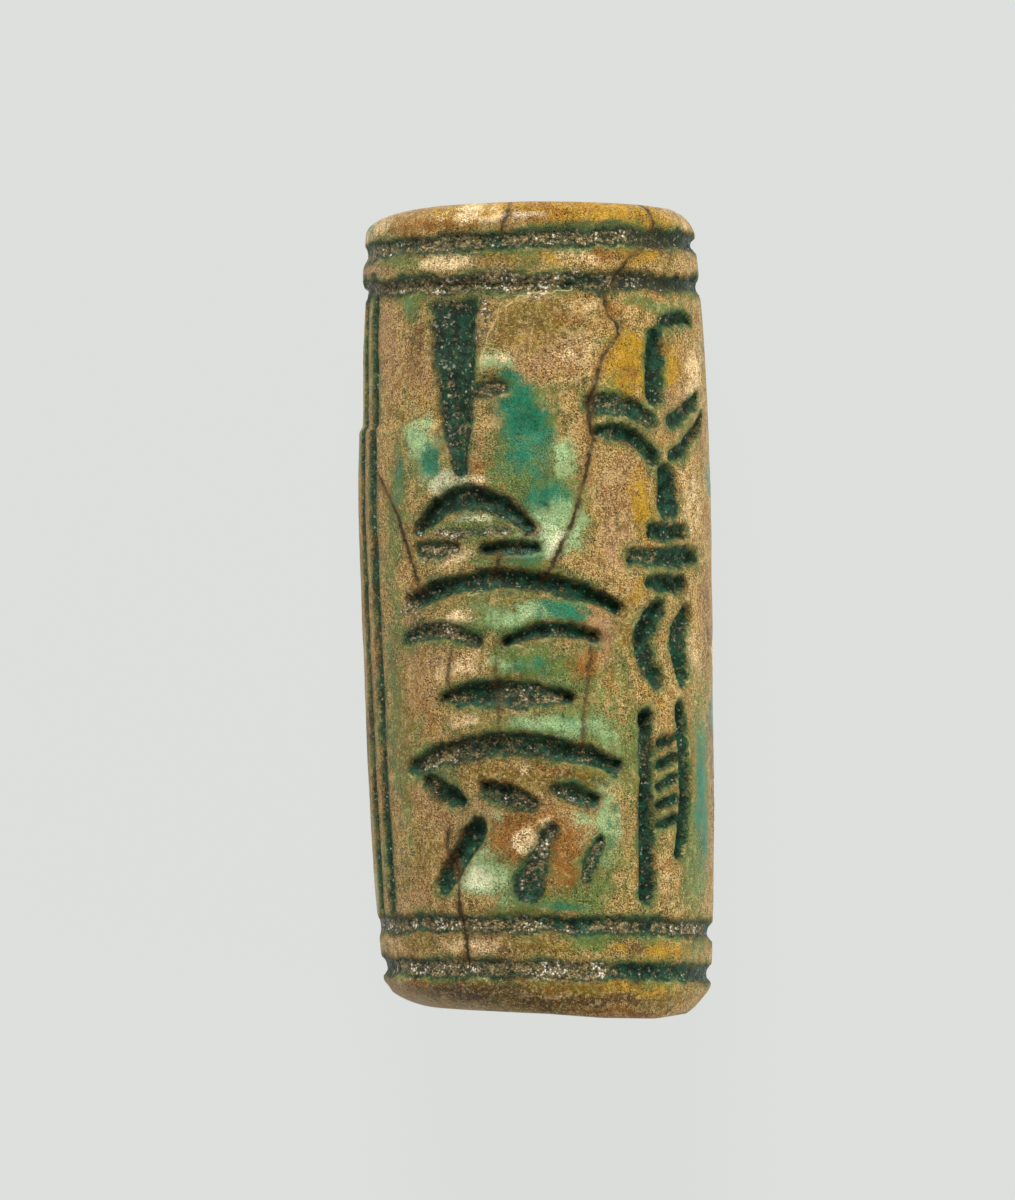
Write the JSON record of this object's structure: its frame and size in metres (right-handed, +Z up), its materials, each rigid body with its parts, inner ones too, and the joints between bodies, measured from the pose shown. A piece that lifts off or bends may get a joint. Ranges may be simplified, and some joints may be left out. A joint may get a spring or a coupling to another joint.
{
  "type": "cylinder bead",
  "caption": "Carved cylinder bead of glazed stone with ring grooves and shallow strokes, bored lengthwise for a cord and lying on a small flat.",
  "frame": {"origin": "middle of the small flat on the bead's underside, below the middle of its length", "axes": "+Y along the bore towards the head end, +Z up through the carved front, +X to the right of the front"},
  "size_m": [0.0096, 0.0216, 0.0092],
  "materials": {
    "glazed_stone": "satin"
  },
  "bodies": {
    "root": {"cylinder_bead": "glazed_stone"}
  },
  "joints": []
}
